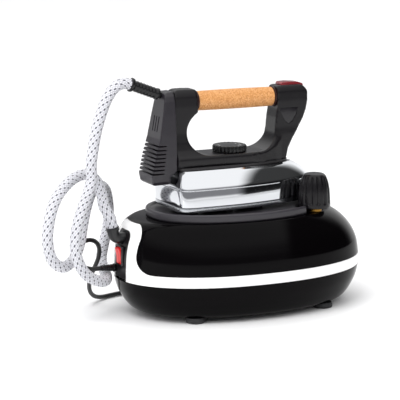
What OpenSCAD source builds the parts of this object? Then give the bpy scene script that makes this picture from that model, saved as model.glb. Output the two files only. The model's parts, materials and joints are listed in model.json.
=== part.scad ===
// Steam generator iron: a cork-handled iron on its boiler base.
// Millimetres. +X points to the nose, -Y to the front side, +Z up.
// The origin is the middle of the base, on the surface that its feet stand on.

/* [Boiler base] */
// Half length of the base at its trim band
base_half_l = 188.5; // [187.5:0.5:190]
// Half width of the base at its trim band
base_half_w = 119; // [115:1:123]
// Height of the bottom plate above the table
bottom_z = 8; // [7:1:9]
// Lower edge of the white trim band
trim_low_z = 56; // [54:1:58]
// Upper edge of the white trim band
trim_top_z = 72; // [70:1:74]
// Height of the top deck of the base
deck_z = 141; // [140.5:0.5:141.5]
// Wall thickness of the housings
wall = 3; // [2.5:0.1:3.2]

/* [Iron tray] */
// Height of the tray rim above the table
rim_z = 153; // [152:0.5:153.5]
// Height of the tray floor
tray_floor_z = 148; // [147:0.5:149]

/* [Filler cap] */
// Distance of the cap towards the nose
cap_x = 97; // [96:1:99]
// Distance of the cap to the front side
cap_y = 53; // [51.5:0.5:54]
// Radius of the cap at its foot
cap_r = 24; // [23:0.5:25]
// Height of the cap
cap_h = 50; // [40:1:52]
// Number of finger flutes on the cap
cap_flutes = 14; // [10:1:16]

/* [Iron] */
// Half width of the soleplate
sole_half_w = 56; // [53:1:57]
// Underside of the soleplate as it rests on the pads
sole_z = 154; // [154:0.5:155]
// Radius of the cork grip
grip_r = 14.5; // [13.5:0.5:15]
// Height of the grip's axis
grip_z = 306; // [305:1:307]
// Radius of the temperature dial
dial_r = 25; // [22:1:26]
// Travel of the steam button
button_travel = 2.5; // [2:0.5:3]

/* [Cords] */
// Diameter of the braided steam hose
hose_d = 16; // [15:0.5:16]
// Diameter of the mains lead
lead_d = 6.5; // [6:0.5:6.5]

/* [Hidden] */

gap = 0.3;          // clearance between covers
run_fit = 0.05;     // radial clearance of a turning or sliding fit
seg = 48;           // points round a housing ring
base_back = 190;    // rear half length of the base at its trim band
sides = 2.2;        // roundness exponent of the base's plan

// ---------------------------------------------------------------- outlines and skins

// One point of a plan outline: half lengths ar (rear) and af (front), half width b, and a
// roundness exponent for each end.
function plan_point(t, xc, ar, af, b, nr, nf) =
    let (c = cos(t), s = sin(t), n = c < 0 ? nr : nf, a = c < 0 ? ar : af)
    [xc + a * sign(c) * pow(abs(c), 2 / n), b * sign(s) * pow(abs(s), 2 / n)];

function base_ring(z, ar, af, b, inset = 0, n = seg) =
    [for (i = [0 : n - 1])
        let (p = plan_point(360 * i / n, 0, ar - inset, af - inset, b - inset, sides, sides))
        [p[0], p[1], z]];

// The iron's outline, drawn in by an inset. The heel draws in less than the sides.
heel_share = 0.4;
iron_mid_x = -50;
function iron_outline(inset, n = 56) =
    [for (i = [0 : n - 1])
        plan_point(360 * i / n, iron_mid_x, 66 - heel_share * inset, 166 - 1.5 * inset,
                   sole_half_w - inset, 7, 1.9)];
function iron_ring(z, inset, n = 56) = [for (p = iron_outline(inset, n)) [p[0], p[1], z]];

function tray_ring(z, inset, n = seg) =
    [for (i = [0 : n - 1])
        let (p = plan_point(360 * i / n, 0, 141 - inset, 134 - inset, 87 - inset, 2.3, 1.9))
        [p[0], p[1], z]];

// A closed skin over rings of equal length. With closed_loop the last ring joins the first.
module skin(rings, closed_loop = false) {
    n = len(rings[0]);
    m = len(rings);
    points = [for (r = rings) each r];
    walls = [for (i = [0 : closed_loop ? m - 1 : m - 2]) for (j = [0 : n - 1])
        let (a = i * n + j, b = i * n + (j + 1) % n, c = ((i + 1) % m) * n + j,
             d = ((i + 1) % m) * n + (j + 1) % n)
        each [[a, c, d], [a, d, b]]];
    caps = closed_loop ? []
        : [[for (j = [0 : n - 1]) j], [for (j = [n - 1 : -1 : 0]) (m - 1) * n + j]];
    polyhedron(points = points, faces = concat(walls, caps), convexity = 10);
}

// Side profile in X and Z, extruded along Y to a half width.
module side_plate(profile, half_w) {
    translate([0, half_w, 0]) rotate([90, 0, 0]) linear_extrude(height = 2 * half_w, convexity = 6)
        polygon(profile);
}

// Front profile in Y and Z, extruded along X between x0 and x1.
module front_plate(profile, x0, x1) {
    translate([x0, 0, 0]) rotate([90, 0, 90]) linear_extrude(height = x1 - x0, convexity = 6)
        polygon(profile);
}

// Points on an arc about [cx, cz].
function arc(cx, cz, r, a0, a1, n = 6) =
    [for (i = [0 : n]) let (a = a0 + (a1 - a0) * i / n) [cx + r * cos(a), cz + r * sin(a)]];

// A rounded rectangle from four arcs.
function round_rect(x0, z0, x1, z1, r) = concat(
    arc(x1 - r, z0 + r, r, -90, 0), arc(x1 - r, z1 - r, r, 0, 90),
    arc(x0 + r, z1 - r, r, 90, 180), arc(x0 + r, z0 + r, r, 180, 270));

// Round rod between two points.
module rod(a, b, r, n = 24) {
    v = b - a;
    l = norm(v);
    translate(a) rotate([0, acos(v[2] / l), atan2(v[1], v[0])]) cylinder(h = l, r = r, $fn = n);
}

// Bent pipe: rods with a slightly larger ball, like a brazed joint, at each inner corner.
joint_swell = 0.25;
module pipe(points, r) {
    for (i = [0 : len(points) - 2]) rod(points[i], points[i + 1], r);
    for (i = [1 : len(points) - 2]) translate(points[i]) sphere(r = r + joint_swell, $fn = 24);
}

// ---------------------------------------------------------------- boiler base

// Rows of the upper housing: height, then its rear, front and side half lengths.
upper_rows = [
    [trim_top_z, base_back, base_half_l, base_half_w],
    [90, base_back - 1, base_half_l - 3, base_half_w - 1.5],
    [106, 187, 179, 113], [120, 183, 169, 107], [131, 178, 157, 100], [138, 171, 146, 94],
    [deck_z, 164, 139, 91]];
// Rows of the lower housing: height and share of the full plan.
lower_rows = [
    [bottom_z, 0.84], [10, 0.87], [16, 0.905], [27, 0.945], [41, 0.98], [trim_low_z, 1]];
foot_x = 103;
foot_y = 72;
foot_spots = [for (sx = [-1, 1]) for (sy = [-1, 1]) [sx * foot_x, sy * foot_y]];
screw_r = 2;

function row_ring(row, inset = 0, z = -1) =
    base_ring(z < 0 ? row[0] : z, row[1], row[2], row[3], inset);
function share_ring(row, inset = 0, z = -1) =
    base_ring(z < 0 ? row[0] : z, base_back * row[1], base_half_l * row[1], base_half_w * row[1], inset);

module lower_housing() {
    inner_floor = bottom_z + wall;
    outer = [for (row = lower_rows) share_ring(row)];
    inner = [for (i = [len(lower_rows) - 1 : -1 : 2]) share_ring(lower_rows[i], wall)];
    color("#1b1b1e") difference() {
        skin(concat(outer, inner, [share_ring(lower_rows[1], wall + 2, inner_floor)]));
        for (p = foot_spots) translate([p[0], p[1], 0]) cylinder(h = 20, r = screw_r, $fn = 24);
    }
}

// The upper housing's whole shell: down the inside, then up the outside.
module upper_shell() {
    last = len(upper_rows) - 1;
    inner = [for (i = [last - 1 : -1 : 0]) row_ring(upper_rows[i], wall)];
    outer = [for (row = upper_rows) row_ring(row)];
    skin(concat([row_ring(upper_rows[last], wall + 2, deck_z - wall)], inner, outer));
}

// The white frame round the rear panel is an arch, seen along X. It flares into the trim band.
frame_half_w = 40;
frame_top_z = 138.5;
flare = 26;
window_half_w = 21;
window_top_z = 128;
module arch_outline(half_w, top_z, r) {
    polygon(concat(
        [[-half_w - flare, trim_top_z - 1], [half_w + flare, trim_top_z - 1]],
        arc(half_w + flare, trim_top_z + flare, flare, -90, -180, 8),
        arc(half_w - r, top_z - r, r, 0, 90), arc(-half_w + r, top_z - r, r, 90, 180),
        arc(-half_w - flare, trim_top_z + flare, flare, 0, -90, 8)));
}
module along_x(x0, x1) {
    translate([x0, 0, 0]) rotate([90, 0, 90]) linear_extrude(height = x1 - x0, convexity = 6) children();
}
module window_outline(grow) {
    polygon(round_rect(-window_half_w - grow, trim_low_z - 12 - grow, window_half_w + grow,
                       window_top_z + grow, 11 + grow));
}

module upper_housing() {
    color("#141416") difference() {
        upper_shell();
        along_x(-260, -100) arch_outline(frame_half_w, frame_top_z, 20);
        translate([cap_x, -cap_y, 100]) cylinder(h = 60, r = neck_r + gap, $fn = 48);
    }
}

module rear_frame() {
    color("#f2f2f0") difference() {
        intersection() {
            upper_shell();
            along_x(-260, -100.5) arch_outline(frame_half_w - gap, frame_top_z - gap, 20);
        }
        along_x(-260, -150) window_outline(0);
    }
}

module trim_band() {
    ring_out = [base_back, base_half_l, base_half_w];
    low = concat([trim_low_z], ring_out);
    top = concat([trim_top_z], ring_out);
    color("#f2f2f0") difference() {
        skin([row_ring(low), row_ring(top), row_ring(top, wall), row_ring(low, wall)], true);
        translate([-200, -window_half_w, trim_low_z - 5]) cube([60, 2 * window_half_w, 30]);
    }
}

// The hose outlet is an elbow: a foot in the panel, a bend, then a spout that points up.
gland_foot = [-172, 0, 116];
gland_bend = [-196, 0, 116];
gland_tip = [-199.5, 0, 133];
gland_r = 9;
lead_exit = [-189, 14.5, 70];
lead_gland_tip = [-212, 15, 71];
switch_z = 91;
switch_half_h = 13;
switch_half_w = 10;
rocker_axis_x = -183.8;
bezel_x = -190.5;
bezel_half_w = 12;
bezel_half_h = 14.5;
lead_root_r = 5.2;
// The panel is a curved plate that follows the shell, set back a little.
module rear_panel() {
    set_back = 0.8;
    t = 2.5;
    low = [trim_low_z + gap, base_back, base_half_l, base_half_w];
    rows = concat([low], [for (row = upper_rows) if (row[0] < window_top_z + 4) row]);
    outer = [for (row = rows) row_ring(row, set_back)];
    inner = [for (i = [len(rows) - 1 : -1 : 0]) row_ring(rows[i], set_back + t)];
    color("#232326") difference() {
        intersection() {
            skin(concat(outer, inner), true);
            along_x(-260, -140) window_outline(-gap);
        }
        translate([-200, -bezel_half_w - gap, switch_z - bezel_half_h - gap])
            cube([40, 2 * (bezel_half_w + gap), 2 * (bezel_half_h + gap)]);
        rod(gland_foot, gland_bend, gland_r + gap, 48);
        rod(lead_exit - (lead_gland_tip - lead_exit), lead_gland_tip, lead_root_r + gap, 48);
    }
}

module iron_tray() {
    color("#38383b") difference() {
        skin([tray_ring(deck_z, 1.5), tray_ring(deck_z + 2.5, 0), tray_ring(rim_z - 3, 0),
              tray_ring(rim_z, 1.2), tray_ring(rim_z, 4), tray_ring(tray_floor_z, 6.5)]);
        translate([cap_x, -cap_y, 130]) cylinder(h = 40, r = cap_r + 3, $fn = 64);
    }
}

// Silicone strips that carry the hot soleplate.
pad_rows = [[-86, 34], [-34, 40], [18, 32]];
module tray_pads() {
    color("#2a2a2c") for (p = pad_rows) for (side = [-1, 1])
        translate([p[0] - 5, side > 0 ? 8 : -p[1], tray_floor_z])
            cube([10, p[1] - 8, sole_z - tray_floor_z]);
}

foot_r = 14.5;
module rubber_feet() {
    color("#2b2b2d") for (p = foot_spots) translate([p[0], p[1], 0])
        rotate_extrude($fn = 48)
            polygon([[4.5, 0], [foot_r - 1.5, 0], [foot_r, 1.5], [foot_r, 5], [foot_r - 1, bottom_z],
                     [screw_r, bottom_z], [screw_r, 4], [4.5, 4]]);
}
module foot_screws() {
    color("#b8b8ba") for (p = foot_spots) translate([p[0], p[1], 1])
        rotate_extrude($fn = 24)
            polygon([[0, 0], [4, 0.6], [4, 3], [screw_r, 3], [screw_r, 12], [0, 13.5]]);
}

// Steel boiler: two pressed halves that meet at a flange.
boiler = [64, -26];
boiler_r = 64;
boiler_low_z = 24;
boiler_mid_z = 64;
boiler_top_z = 104;
sheet = 1.6;
module boiler_half(floor_z, sign_z) {
    h = boiler_mid_z - boiler_low_z;
    translate([boiler[0], boiler[1], floor_z]) mirror([0, 0, sign_z > 0 ? 0 : 1])
        rotate_extrude($fn = 96)
            polygon(concat([[0, 0]], arc(boiler_r - 10, 10, 10, -90, 0),
                           [[boiler_r, h - 2.5], [boiler_r + 6, h - 2.5], [boiler_r + 6, h],
                            [boiler_r - sheet, h]],
                           arc(boiler_r - 10, 10, 10 - sheet, 0, -90), [[0, sheet]]));
}
module boiler_lower_shell() { color("#c4c6c8") boiler_half(boiler_low_z, 1); }
module boiler_upper_shell() {
    color("#c4c6c8") difference() {
        boiler_half(boiler_top_z, -1);
        translate([cap_x, -cap_y, 90]) cylinder(h = 20, r = plug_r, $fn = 32);
    }
}
module boiler_heater() {
    color("#8d8f92") translate([boiler[0], boiler[1], boiler_low_z - 4]) {
        rotate_extrude($fn = 72) translate([40, 0]) circle(r = 4, $fn = 32);
        for (side = [-1, 1]) translate([-42, side * 6, 0]) rotate([0, -90, 0]) cylinder(h = 26, r = 3);
    }
}
module boiler_posts() {
    color("#9a9c9f") for (a = [0, 120, 240])
        translate([boiler[0] + 52 * cos(a), boiler[1] + 52 * sin(a), bottom_z + wall])
            cylinder(h = boiler_low_z - bottom_z - wall, r = 4.5, $fn = 32);
}
module pressure_switch() {
    color("#b9bbbd") translate([boiler[0] - 26, boiler[1] + 14, boiler_top_z]) {
        cylinder(h = 8, r = 6, $fn = 32);
        translate([0, 0, 8]) cylinder(h = 12, r = 12, $fn = 48);
        translate([0, 0, 20]) cylinder(h = 5, r = 5, $fn = 32);
    }
}
module boiler_thermostat() {
    color("#b9bbbd") translate([boiler[0] + 22, boiler[1] + 22, boiler_top_z]) {
        cylinder(h = 5, r = 8.5, $fn = 48);
        translate([0, 0, 5]) cylinder(h = 6, r = 6, $fn = 48);
    }
}
valve = [-86, 0, bottom_z + wall];
module steam_valve() {
    color("#a98a45") translate(valve) {
        translate([-16, -11, 0]) cube([32, 22, 18]);
        translate([0, 0, 18]) cylinder(h = 5, r = 6, $fn = 32);
        translate([0, 0, 23]) cylinder(h = 26, r = 13, $fn = 48);
    }
}
pipe_r = 3;
module inlet_pipe() {
    top = 122;
    low = valve[2] + 9;
    color("#c58a55") pipe([[18, -10, boiler_top_z], [18, -10, top], [-60, -10, top], [-60, -2, top],
                           [-60, -2, low], [valve[0] + 16, -2, low]], pipe_r);
}
module outlet_pipe() {
    low = valve[2] + 9;
    color("#c58a55") pipe([[valve[0] - 16, 0, low], [-140, 0, low], [-140, 0, gland_foot[2]],
                           gland_foot - [6, 0, 0]], pipe_r);
}
function unit(v) = v / norm(v);
module base_terminal_block() {
    color("#e6e2d8") translate([-128, 22, bottom_z + wall]) difference() {
        cube([20, 40, 16]);
        for (i = [0 : 3]) translate([10, 5 + 10 * i, 6]) cylinder(h = 12, r = 3, $fn = 24);
    }
}

// ---------------------------------------------------------------- filler cap

neck_r = 9;
plug_r = 5.8;
neck_top_z = deck_z + 5;
module filler_neck() {
    color("#b08d48") translate([cap_x, -cap_y, 0]) rotate_extrude($fn = 64)
        polygon([[plug_r + run_fit, boiler_top_z], [neck_r, boiler_top_z], [neck_r, deck_z],
                 [11.5, deck_z], [11.5, neck_top_z], [plug_r + run_fit, neck_top_z]]);
}
plug_head_z = neck_top_z + 1.5;
hub_r = 8;
hub_top_z = plug_head_z + 26;
module filler_plug() {
    color("#b08d48") translate([cap_x, -cap_y, 0]) rotate_extrude($fn = 64)
        polygon([[2, neck_top_z - 14], [plug_r, neck_top_z - 14], [plug_r, plug_head_z],
                 [11, plug_head_z], [11, plug_head_z + 3], [hub_r, plug_head_z + 3],
                 [hub_r, hub_top_z], [0, hub_top_z], [0, hub_top_z - 16], [2, hub_top_z - 18]]);
}
module plug_seal() {
    color("#7a2f26") translate([cap_x, -cap_y, neck_top_z]) rotate_extrude($fn = 64)
        polygon([[plug_r + run_fit, 0], [10.5, 0], [10.5, 1.5], [plug_r + run_fit, 1.5]]);
}
cap_low_z = neck_top_z + 1.2;
module filler_cap() {
    top_z = cap_low_z + cap_h;
    color("#303034") difference() {
        translate([cap_x, -cap_y, 0]) rotate_extrude($fn = 96)
            polygon([[12, cap_low_z], [cap_r - 1, cap_low_z], [cap_r, cap_low_z + 2],
                     [cap_r - 1, cap_low_z + 0.46 * cap_h], [cap_r - 3, cap_low_z + 0.7 * cap_h],
                     [cap_r - 5.6, cap_low_z + 0.86 * cap_h], [cap_r - 7.6, cap_low_z + 0.93 * cap_h],
                     [cap_r - 10, cap_low_z + 0.98 * cap_h], [cap_r - 13, top_z], [0, top_z],
                     [0, hub_top_z + gap],
                     [hub_r + run_fit, hub_top_z + gap],
                     [hub_r + run_fit, plug_head_z + 3 + gap], [12, plug_head_z + 3 + gap]]);
        for (i = [0 : cap_flutes - 1])
            translate([cap_x, -cap_y, cap_low_z + 3]) rotate([0, 0, 360 * i / cap_flutes])
                translate([cap_r + 1.1, 0, 4]) rotate([0, -6.5, 0]) cylinder(h = cap_h, r = 2.4, $fn = 24);
    }
}

// ---------------------------------------------------------------- switch and glands

rocker_tilt = 7;
module switch_frame() {
    color("#1a1a1c") difference() {
        union() {
            translate([bezel_x, -bezel_half_w, switch_z - bezel_half_h])
                cube([4, 2 * bezel_half_w, 2 * bezel_half_h]);
            translate([bezel_x + 1, -switch_half_w, switch_z - switch_half_h])
                cube([22, 2 * switch_half_w, 2 * switch_half_h]);
        }
        translate([bezel_x - 1, -8.8, switch_z - 12.6]) cube([21, 17.6, 25.2]);
    }
}
// The rocker turns about the middle of its frame.
module switch_rocker() {
    color("#d3171c") translate([rocker_axis_x, 0, switch_z]) rotate([0, -rocker_tilt, 0])
        translate([0, 8.4, 0]) rotate([90, 0, 0]) linear_extrude(height = 16.8)
            polygon(concat([[-8.4, 11.2], [-7.2, 0], [-8.4, -11.2]], arc(0, 0, 11.6, -100, 100, 16)));
}
module hose_gland() {
    d = unit(gland_tip - gland_bend);
    color("#202022") difference() {
        union() {
            rod(gland_foot, gland_bend, gland_r - 0.8, 48);
            translate(gland_bend) sphere(r = gland_r - 0.8 + joint_swell, $fn = 48);
            rod(gland_bend, gland_tip, gland_r - 0.8, 48);
            rod(gland_tip - 6 * d, gland_tip, gland_r + 0.4, 48);
        }
        rod(gland_foot + [1, 0, 0], gland_foot - [8, 0, 0], pipe_r + 0.1, 24);
    }
}
module mains_gland() {
    v = lead_gland_tip - lead_exit;
    color("#202022") {
        rod(lead_exit + 0.28 * v, lead_gland_tip, 4.6, 32);
        rod(lead_exit - 0.3 * v, lead_exit + 0.28 * v, lead_root_r, 32);
    }
}

// ---------------------------------------------------------------- iron: sole and skirt

sole_top_z = sole_z + 7;
module iron_slab(z0, z1, inset) {
    translate([0, 0, z0]) linear_extrude(height = z1 - z0) polygon(iron_outline(inset));
}
module soleplate() {
    color("#b9bcc0") difference() {
        union() {
            iron_slab(sole_z, sole_top_z, 0.6);
            iron_slab(sole_top_z - 1, sole_top_z + 3, 5);
        }
        for (side = [-1, 1]) for (i = [0 : 6])
            translate([90 - 18 * i, side * (6 + 4.2 * i), sole_z - 1]) cylinder(h = 20, r = 1.5, $fn = 16);
        for (i = [0 : 3]) translate([96 - 16 * i, 0, sole_z - 1]) cylinder(h = 20, r = 1.5, $fn = 16);
    }
}
sole_deck_z = sole_top_z + 3;
module sole_heater() {
    color("#77797c") translate([-88, 0, sole_deck_z + 4]) {
        for (side = [-1, 1]) translate([0, side * 30, 0]) rotate([0, 90, 0])
            cylinder(h = 108, r = 4, $fn = 32);
        translate([108, 0, 0]) rotate([0, 0, -90]) rotate_extrude(angle = 180, $fn = 64)
            translate([30, 0]) circle(r = 4, $fn = 32);
    }
}
module steam_chamber_cover() {
    color("#a7aaad") translate([-62, -22, sole_deck_z]) difference() {
        cube([90, 44, 5]);
        translate([4, 4, -1]) cube([82, 36, 4]);
    }
}
// Polished skirt: an upright band, then a dome that draws in to the handle.
skirt_rows = [[sole_top_z + gap, 0], [185, 0], [188, 1.2], [193, 4.5], [200, 10], [206, 15.5], [210, 21]];
module chrome_skirt() {
    thin = 1.4;
    last = len(skirt_rows) - 1;
    inner = [for (i = [last - 1 : -1 : 0]) iron_ring(skirt_rows[i][0], skirt_rows[i][1] + thin)];
    outer = [for (row = skirt_rows) iron_ring(row[0], row[1])];
    color("#dfe2e4") difference() {
        skin(concat([iron_ring(skirt_rows[last][0] - thin, skirt_rows[last][1] + thin)], inner, outer));
        translate([dial_x, 0, 200]) cylinder(h = 20, r = 9, $fn = 32);
        for (x = screw_xs) translate([x, 0, 200]) cylinder(h = 20, r = screw_r + 0.1, $fn = 24);
        translate([steam_tube_x, steam_tube_y, 200]) cylinder(h = 20, r = 4, $fn = 24);
    }
}
dial_x = -15;
screw_xs = [-80, 50];
steam_tube_x = -58;
steam_tube_y = -9;
shield_z = 214;
module heat_shield() {
    color("#2c2a29") difference() {
        iron_slab(210, shield_z, 25);
        translate([dial_x, 0, 200]) cylinder(h = 20, r = 9, $fn = 32);
        for (x = screw_xs) translate([x, 0, 200]) cylinder(h = 20, r = screw_r + 0.1, $fn = 24);
        translate([steam_tube_x, steam_tube_y, 200]) cylinder(h = 20, r = 4, $fn = 24);
    }
}

// ---------------------------------------------------------------- iron: handle

deck_top_z = 230;
cover_seam_x = -109;
grip_x0 = -72;
grip_x1 = 55;
grip_low_z = grip_z - grip_r - 1.2;
grip_top_z = grip_z + grip_r + 4.5;
// The finger opening's rear edge: part of an ellipse that starts level with the grip's underside.
rear_edge_turn = 53.13;
rear_edge_r = 45;
rear_edge_h = 35.6;
rear_edge = [for (i = [0 : 5]) let (a = rear_edge_turn * (1 - i / 5))
    [-45 - rear_edge_r * cos(a), 263 + rear_edge_h * sin(a)]];
// Outer outline, then the finger opening's edge, as seen from the side.
handle_outline = concat(
    [[cover_seam_x, shield_z], [cover_seam_x, 317]], arc(cover_seam_x + 8, 317, 8, 150, 96, 3),
    [[-90, grip_top_z]], arc(grip_x0 - 5, grip_top_z - 5, 4.4, 80, 0, 3),
    rear_edge,
    arc(-57, deck_top_z + 33, 33, 186, 270, 8),
    arc(22, deck_top_z + 29, 29, 270, 352, 8),
    [[52.5, 276], [grip_x1, grip_low_z], [grip_x1, 320], [grip_x1 + 2.5, 322.8]],
    arc(91.5, 309.5, 13.5, 88, 0, 5),
    [[104.5, 300], [102, 287], [97, 274], [89, 260], [79, 244], [72.5, 231], [69, shield_z]]);
// The handle seen from above: its deck narrows towards the nose.
handle_plan = [[-130, 30], [0, 30], [30, 27], [50, 22.5], [62, 18.6], [110, 18.6],
    [110, -18.6], [62, -18.6], [50, -22.5], [30, -27], [0, -30], [-130, -30]];
// Half of the outline as seen from the front: wide deck, slim column.
handle_half_front = [[27, shield_z], [29, 218], [29.5, 225], [28.5, 229.5], [26, deck_top_z + 0.5],
    [22, 238], [19, 248], [17.6, 262], [17.2, 300], [16, 314], [13.5, 321], [10, 325.5]];
function mirrored(half) = concat(half, [for (i = [len(half) - 1 : -1 : 0]) [-half[i][0], half[i][1]]]);
inset_depth = 0.9;
module inset_outline(grow) {
    polygon([[59 - grow, 290 + grow], [87 + grow, 290 + grow], [85 + grow, 280], [79, 271 - grow],
             [73, 266.5 - grow], [66, 272 - grow], [61 - grow, 281]]);
}
button_x0 = 64;
button_x1 = 100.5;
button_half_w = 9.5;
button_seat_z = 309;
spring_x = 78;
module handle_body() {
    color("#37353a") difference() {
        intersection() {
            side_plate(handle_outline, 40);
            front_plate(mirrored(handle_half_front), -130, 130);
            translate([0, 0, 200]) linear_extrude(height = 140) polygon(handle_plan);
        }
        translate([-100, -23, shield_z - 1]) cube([130, 46, 11]);
        translate([29, -17, shield_z - 1]) cube([31, 34, 11]);
        translate([dial_x, 0, 220]) cylinder(h = 20, r = 3 + run_fit, $fn = 48);
        translate([button_x0 - gap, -button_half_w - gap, button_seat_z])
            cube([button_x1 - button_x0 + 2 * gap, 2 * (button_half_w + gap), 30]);
        translate([spring_x, 0, button_seat_z - 8]) cylinder(h = 20, r = 4.6, $fn = 32);
        translate([spring_x + 9, -4.5, button_seat_z - 12]) cube([12, 9, 20]);
        for (side = [-1, 1]) translate([0, side > 0 ? 40 : -17.2 + inset_depth, 0]) rotate([90, 0, 0])
            linear_extrude(height = 22.8 + inset_depth) inset_outline(gap);
        rod([-84, 0, grip_z], [61, 0, grip_z], rod_r + 0.1, 32);
        for (x = screw_xs) translate([x, 0, shield_z - 1]) cylinder(h = 17, r = screw_r, $fn = 24);
        translate([steam_tube_x, steam_tube_y, shield_z - 1]) cylinder(h = 12, r = 4, $fn = 24);
    }
    color("#37353a") for (x = screw_xs) translate([x, 0, shield_z]) difference() {
        cylinder(h = 10.5, r = 6, $fn = 32);
        translate([0, 0, -1]) cylinder(h = 13, r = screw_r, $fn = 24);
    }
}
cover_outline = concat(
    [[cover_seam_x - gap, 211], [cover_seam_x - gap, 323.2]],
    arc(-117, 314.5, 8, 78, 165, 5), [[-127.5, 300], [-135, 257], [-142, 232], [-148, 204]],
    arc(-142, 196, 5, 170, 260, 4), [[-119, 191.5], [-119, 203]]);
cover_half_front = [[21, 191], [24.5, 196], [26, 210], [26, 232], [24.5, 262], [22, 290],
                    [19.5, 308], [16.5, 317], [11, 323.6]];
slot_count = 8;
slot_pitch = 5.6;
slot_h = 2.2;
module rear_cover() {
    color("#262327") difference() {
        intersection() {
            side_plate(cover_outline, 40);
            front_plate(mirrored(cover_half_front), -160, -100);
        }
        translate([-128, -17, 214]) cube([27, 34, 78]);
        for (i = [0 : slot_count - 1])
            translate([-160, -30, 207 + slot_pitch * i]) cube([29.4 + 0.6 * i, 60, slot_h]);
        for (y = [-8, 0, 8]) translate([-160, y - 1.4, 266]) cube([35, 2.8, 22]);
        rod(relief_root - 12 * relief_dir, relief_root + 4.6 * relief_dir, 5, 32);
    }
}
relief_root = [-124, 0, 317];
relief_tip = [-171, 0, 335];
relief_dir = unit(relief_tip - relief_root);
module hose_strain_relief() {
    color("#1f1f21") difference() {
        union() {
            rod(relief_root + 4.6 * relief_dir, relief_tip, 7.4, 48);
            rod(relief_root - 6 * relief_dir, relief_root + 9 * relief_dir, 4.9, 48);
            for (i = [0 : 4]) rod(relief_root + (14 + 6 * i) * relief_dir,
                                  relief_root + (16.5 + 6 * i) * relief_dir, 8, 48);
            rod(relief_tip - 3 * relief_dir, relief_tip, 10.2, 48);
        }
        rod(relief_root - 7 * relief_dir, relief_root + 20 * relief_dir, 2.4, 24);
    }
}

rod_r = 4;
collar_t = 3;
module cork_grip() {
    l = grip_x1 - grip_x0 - 2 * collar_t;
    color("#d9a066") translate([grip_x0 + collar_t, 0, grip_z]) rotate([0, 90, 0])
        rotate_extrude($fn = 64)
            polygon(concat([[rod_r + 0.1, 0], [grip_r - 0.9, 0]],
                           [for (i = [0 : 8]) [grip_r - 0.5 + 0.5 * sin(180 * i / 8), 1 + (l - 2) * i / 8]],
                           [[grip_r - 0.9, l], [rod_r + 0.1, l]]));
}
module grip_rod() {
    color("#a9acaf") rod([-83.9, 0, grip_z], [60.9, 0, grip_z], rod_r, 32);
}
module collar(x) {
    color("#5d2320") translate([x, 0, grip_z]) rotate([0, 90, 0]) difference() {
        cylinder(h = collar_t, r = grip_r + 0.6, $fn = 64);
        translate([0, 0, -1]) cylinder(h = collar_t + 2, r = rod_r + 0.1, $fn = 32);
    }
}
module rear_collar() { collar(grip_x0); }
module front_collar() { collar(grip_x1 - collar_t); }

// ---------------------------------------------------------------- iron: controls

button_low_z = button_seat_z + button_travel + gap;
button_outline = concat(
    [[button_x0, button_low_z], [button_x0, 324.8]], arc(button_x0 + 3, 324.2, 2.6, 150, 80, 3),
    [[77, 327.4], [91, 326.6]], arc(button_x1 - 4, 320.6, 4, 62, 0, 4), [[button_x1, button_low_z]]);
module steam_button() {
    color("#8c1420") difference() {
        side_plate(button_outline, button_half_w);
        translate([spring_x, 0, 300]) cylinder(h = 20, r = 4.2, $fn = 32);
    }
}
// Compression spring, drawn as its closed outer sleeve.
module button_spring() {
    low = button_seat_z - 8;
    color("#c9cbce") translate([spring_x, 0, low]) difference() {
        cylinder(h = 320 - low - 0.05, r = 3.8, $fn = 32);
        translate([0, 0, -1]) cylinder(h = 30, r = 2.9, $fn = 32);
    }
}
module microswitch() {
    color("#1c1c1e") translate([spring_x + 9.3, -4.2, button_seat_z - 11.7]) {
        cube([11.4, 8.4, 11]);
        translate([5.7, 4.2, 11]) cylinder(h = 0.9, r = 1.5, $fn = 24);
    }
}
dial_low_z = deck_top_z + 0.6;
dial_top_z = dial_low_z + 9;
dial_teeth = 24;
module temperature_dial() {
    color("#1d1c20") difference() {
        translate([dial_x, 0, 0]) rotate_extrude($fn = 96)
            polygon([[3, dial_low_z], [dial_r - 1, dial_low_z], [dial_r, dial_low_z + 1],
                     [dial_r, dial_top_z - 1.6], [dial_r - 1.6, dial_top_z], [dial_r - 5, dial_top_z],
                     [dial_r - 6, dial_top_z - 0.8], [0, dial_top_z - 0.8], [0, dial_top_z - 3],
                     [3, dial_top_z - 3]]);
        for (i = [0 : dial_teeth - 1]) translate([dial_x, 0, dial_low_z + 1.2])
            rotate([0, 0, 360 * i / dial_teeth]) translate([dial_r + 0.6, 0, 0])
                cylinder(h = 12, r = 2, $fn = 16);
    }
}
module dial_shaft() {
    color("#b3b6b9") translate([dial_x, 0, 196]) cylinder(h = dial_top_z - 3 - 196, r = 3, $fn = 48);
}
module sole_thermostat() {
    color("#c9c4b6") translate([dial_x, 0, sole_deck_z + 5.2]) {
        cylinder(h = 12, r = 9, $fn = 48);
        translate([0, 0, 12]) cylinder(h = 195.8 - sole_deck_z - 17.2, r = 5.5, $fn = 32);
    }
}
module thermal_fuse() {
    color("#d7d2c2") translate([-84, -16, sole_deck_z]) {
        translate([0, 0, 3]) rotate([0, 90, 0]) cylinder(h = 18, r = 3, $fn = 24);
    }
}
module iron_terminal_block() {
    color("#e6e2d8") translate([-94, 8, 216]) difference() {
        cube([30, 13, 8]);
        for (i = [0 : 2]) translate([5 + 10 * i, 6.5, 3]) cylinder(h = 8, r = 2.4, $fn = 24);
    }
}
module steam_tube() {
    color("#d8c9a8") pipe([[steam_tube_x, steam_tube_y, sole_deck_z + 5],
                           [steam_tube_x, steam_tube_y, 219], [-98, steam_tube_y, 219]], 2.4);
}
module column_insets() {
    t = inset_depth - 0.1;
    color("#2c2a2f") for (side = [-1, 1])
        translate([0, side > 0 ? 17.2 - 0.1 : -17.2 + t + 0.1, 0]) rotate([90, 0, 0])
            linear_extrude(height = t) inset_outline(0);
}
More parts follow.
